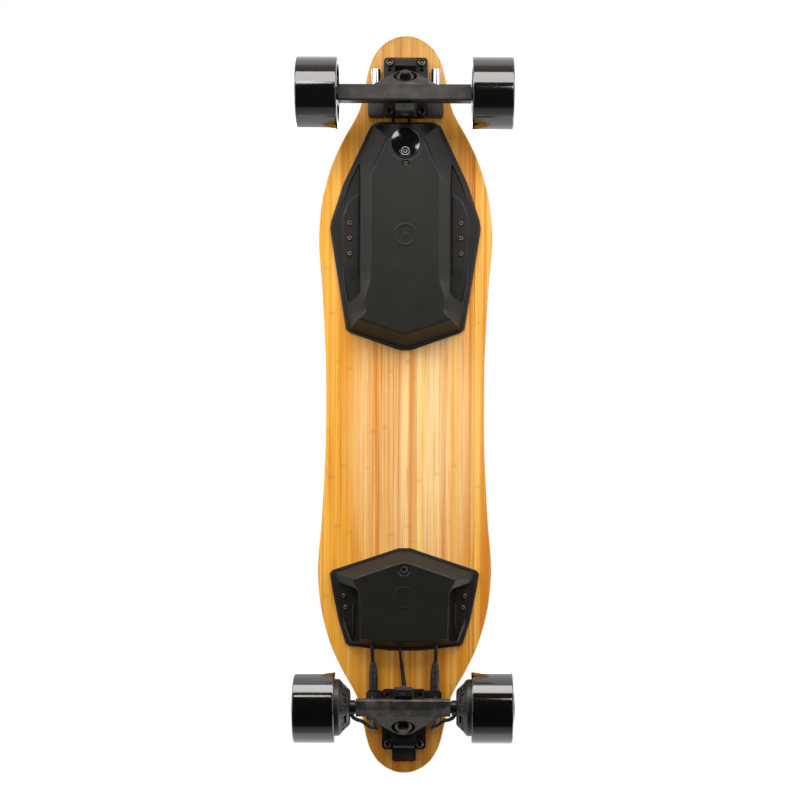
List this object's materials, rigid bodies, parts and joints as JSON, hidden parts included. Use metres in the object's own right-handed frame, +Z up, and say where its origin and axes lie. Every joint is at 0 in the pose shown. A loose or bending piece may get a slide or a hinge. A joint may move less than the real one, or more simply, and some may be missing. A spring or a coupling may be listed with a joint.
{
  "type": "electric skateboard",
  "caption": "Electric longboard skateboard: bamboo deck, battery and controller enclosures under it, reverse-kingpin trucks, hub-motor rear wheels, lights.",
  "frame": {"origin": "on the ground below the middle of the deck", "axes": "+X towards the nose, +Z up, +Y to the rider's left, parallel to the axles"},
  "size_m": [0.965, 0.282, 0.1312],
  "materials": {
    "bamboo": "varnished bamboo strips",
    "grip": "coarse grit",
    "case_plastic": "fine moulded texture",
    "rubber": "matte",
    "cell_wrap": "shrink wrap",
    "nickel": "satin",
    "circuit_board": "solder mask",
    "dark_steel": "blackened steel",
    "gloss_panel": "polished",
    "button_plastic": "gloss",
    "aluminium": "satin",
    "bracket_plastic": "satin moulded",
    "chrome": "polished",
    "lens": "clear",
    "red_lens": "clear red",
    "cable": "satin",
    "black_metal": "satin black coat",
    "steel": "machined",
    "bolt_steel": "zinc plated",
    "urethane_bushing": "satin",
    "copper": "enamelled wire",
    "urethane_tyre": "gloss cast urethane",
    "core_plastic": "satin",
    "motor_cover": "satin"
  },
  "bodies": {
    "board": {"deck": "bamboo", "grip_tape": "grip", "battery_enclosure": "case_plastic", "enclosure_gaskets": "rubber", "battery_cells": "cell_wrap", "cell_holders": "nickel", "battery_management_board": "circuit_board", "enclosure_screws": "dark_steel", "power_panel": "gloss_panel", "battery_test_plug": "rubber", "controller_enclosure": "case_plastic", "controller_board": "circuit_board", "controller_heatsink": "aluminium", "charge_socket": "dark_steel", "front_light_bracket": "bracket_plastic", "rear_cable_bracket": "bracket_plastic", "headlight_housings": "chrome", "headlight_lenses": "lens", "headlight_cables": "cable", "tail_light_housing": "bracket_plastic", "tail_light_lens": "red_lens", "tail_light_cable": "cable", "front_baseplate": "black_metal", "rear_baseplate": "black_metal", "pivot_cups": "urethane_bushing", "kingpins": "steel", "kingpin_nuts": "dark_steel", "cup_washers": "dark_steel", "truck_bolts": "bolt_steel", "truck_bolt_nuts": "bolt_steel", "front_bushings": "urethane_bushing", "rear_bushings": "urethane_bushing", "motor_cable_plugs": "cable", "left_motor_cable": "cable", "right_motor_cable": "cable"},
    "power_button": {"power_button": "button_plastic"},
    "front_truck": {"front_hanger": "black_metal", "front_axle": "steel", "front_axle_nuts": "steel", "front_axle_spacers": "steel"},
    "rear_truck": {"rear_hanger": "black_metal", "motor_axles": "steel", "motor_stators": "steel", "motor_windings": "copper"},
    "front_left_wheel": {"front_left_tyre": "urethane_tyre", "front_left_wheel_core": "core_plastic", "front_left_bearings": "steel"},
    "front_right_wheel": {"front_right_tyre": "urethane_tyre", "front_right_wheel_core": "core_plastic", "front_right_bearings": "steel"},
    "rear_left_wheel": {"rear_left_tyre": "urethane_tyre", "rear_left_motor_housing": "black_metal", "rear_left_magnet_ring": "steel", "rear_left_motor_cover": "motor_cover", "rear_left_motor_bearings": "steel"},
    "rear_right_wheel": {"rear_right_tyre": "urethane_tyre", "rear_right_motor_housing": "black_metal", "rear_right_magnet_ring": "steel", "rear_right_motor_cover": "motor_cover", "rear_right_motor_bearings": "steel"}
  },
  "joints": [
    {"name": "power_button_press", "type": "slide", "parent": "board", "child": "power_button", "axis": [0, 0, 1], "range_m": [0, 0.0008], "stiffness_N_per_m": 900},
    {"name": "front_truck_steer", "type": "hinge", "parent": "board", "child": "front_truck", "pos_m": [0.407, 0, 0.076], "axis": [0.7674, 0, 0.6412], "range_deg": [-15, 15], "stiffness_Nm_per_rad": 45, "deforming": ["front_bushings"]},
    {"name": "rear_truck_steer", "type": "hinge", "parent": "board", "child": "rear_truck", "pos_m": [-0.407, 0, 0.076], "axis": [-0.7674, 0, 0.6412], "range_deg": [-15, 15], "stiffness_Nm_per_rad": 45, "deforming": ["rear_bushings", "left_motor_cable", "right_motor_cable"]},
    {"name": "front_left_wheel_spin", "type": "hinge", "parent": "front_truck", "child": "front_left_wheel", "pos_m": [0.389, 0.111, 0.045], "axis": [0, 1, 0], "continuous": true},
    {"name": "front_right_wheel_spin", "type": "hinge", "parent": "front_truck", "child": "front_right_wheel", "pos_m": [0.389, -0.111, 0.045], "axis": [0, 1, 0], "continuous": true},
    {"name": "rear_left_wheel_spin", "type": "hinge", "parent": "rear_truck", "child": "rear_left_wheel", "pos_m": [-0.389, 0.111, 0.045], "axis": [0, 1, 0], "continuous": true},
    {"name": "rear_right_wheel_spin", "type": "hinge", "parent": "rear_truck", "child": "rear_right_wheel", "pos_m": [-0.389, -0.111, 0.045], "axis": [0, 1, 0], "continuous": true}
  ]
}
